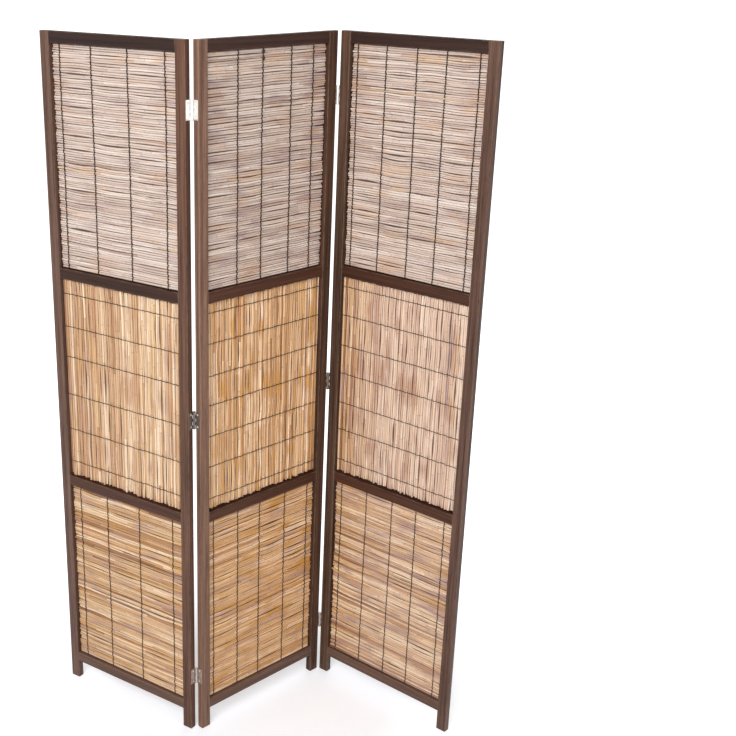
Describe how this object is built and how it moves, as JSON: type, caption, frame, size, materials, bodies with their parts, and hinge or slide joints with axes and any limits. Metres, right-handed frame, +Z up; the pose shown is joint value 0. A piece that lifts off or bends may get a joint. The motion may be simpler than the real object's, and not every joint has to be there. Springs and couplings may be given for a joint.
{
  "type": "reed folding screen",
  "caption": "Folding room screen: hinged wooden frames stand in a zigzag, each filled with reed mats bound with twine, and fold flat against one another on butt hinges.",
  "frame": {"origin": "on the floor, under the centre of the standing screen's bounding box", "axes": "+Z up; +Y towards the back of the screen; +X along it, left to right seen from the front"},
  "size_m": [1.0451, 0.3159, 1.8],
  "materials": {
    "stile_wood": "brown stain, thin satin varnish, worn at the arrises",
    "rail_wood": "darker red-brown stain, thin satin varnish",
    "strip_wood": "brown stain",
    "dowel_wood": "bare turned wood, hidden in the joints",
    "pale_reed": "bleached dry reed, satin skin",
    "tan_reed": "golden dry reed, satin skin",
    "twine": "dark twisted twine",
    "hinge_steel": "pressed steel, bright plated",
    "screw_steel": "bright plated, crossed drive slot"
  },
  "bodies": {
    "left_panel": {"left_panel_left_stile": "stile_wood", "left_panel_right_stile": "stile_wood", "left_panel_top_rail": "rail_wood", "left_panel_upper_rail": "rail_wood", "left_panel_lower_rail": "rail_wood", "left_panel_bottom_rail": "rail_wood", "left_panel_dowels": "dowel_wood", "left_panel_top_mat": "pale_reed", "left_panel_middle_mat": "tan_reed", "left_panel_bottom_mat": "tan_reed", "left_panel_twine": "twine", "left_panel_strip_uprights": "strip_wood", "left_panel_strip_crosspieces": "strip_wood", "left_panel_hinge_screws": "screw_steel", "left_joint_top_hinge_outer_leaf": "hinge_steel", "left_joint_middle_hinge_outer_leaf": "hinge_steel", "left_joint_bottom_hinge_outer_leaf": "hinge_steel"},
    "middle_panel": {"middle_panel_left_stile": "stile_wood", "middle_panel_right_stile": "stile_wood", "middle_panel_top_rail": "rail_wood", "middle_panel_upper_rail": "rail_wood", "middle_panel_lower_rail": "rail_wood", "middle_panel_bottom_rail": "rail_wood", "middle_panel_dowels": "dowel_wood", "middle_panel_top_mat": "pale_reed", "middle_panel_middle_mat": "tan_reed", "middle_panel_bottom_mat": "tan_reed", "middle_panel_twine": "twine", "middle_panel_strip_uprights": "strip_wood", "middle_panel_strip_crosspieces": "strip_wood", "middle_panel_hinge_screws": "screw_steel", "left_joint_top_hinge_inner_leaf": "hinge_steel", "left_joint_top_hinge_pin": "hinge_steel", "left_joint_middle_hinge_inner_leaf": "hinge_steel", "left_joint_middle_hinge_pin": "hinge_steel", "left_joint_bottom_hinge_inner_leaf": "hinge_steel", "left_joint_bottom_hinge_pin": "hinge_steel", "right_joint_top_hinge_inner_leaf": "hinge_steel", "right_joint_top_hinge_pin": "hinge_steel", "right_joint_middle_hinge_inner_leaf": "hinge_steel", "right_joint_middle_hinge_pin": "hinge_steel", "right_joint_bottom_hinge_inner_leaf": "hinge_steel", "right_joint_bottom_hinge_pin": "hinge_steel"},
    "right_panel": {"right_panel_left_stile": "stile_wood", "right_panel_right_stile": "stile_wood", "right_panel_top_rail": "rail_wood", "right_panel_upper_rail": "rail_wood", "right_panel_lower_rail": "rail_wood", "right_panel_bottom_rail": "rail_wood", "right_panel_dowels": "dowel_wood", "right_panel_top_mat": "pale_reed", "right_panel_middle_mat": "tan_reed", "right_panel_bottom_mat": "tan_reed", "right_panel_twine": "twine", "right_panel_strip_uprights": "strip_wood", "right_panel_strip_crosspieces": "strip_wood", "right_panel_hinge_screws": "screw_steel", "right_joint_top_hinge_outer_leaf": "hinge_steel", "right_joint_middle_hinge_outer_leaf": "hinge_steel", "right_joint_bottom_hinge_outer_leaf": "hinge_steel"}
  },
  "joints": [
    {"name": "left_fold", "type": "hinge", "parent": "middle_panel", "child": "left_panel", "pos_m": [-0.1585, -0.124, 0.9], "axis": [0, 0, 1], "range_deg": [-103.5, 91.5]},
    {"name": "right_fold", "type": "hinge", "parent": "middle_panel", "child": "right_panel", "pos_m": [0.19384, 0.14685, 0.9], "axis": [0, 0, 1], "range_deg": [-96, 99]}
  ]
}
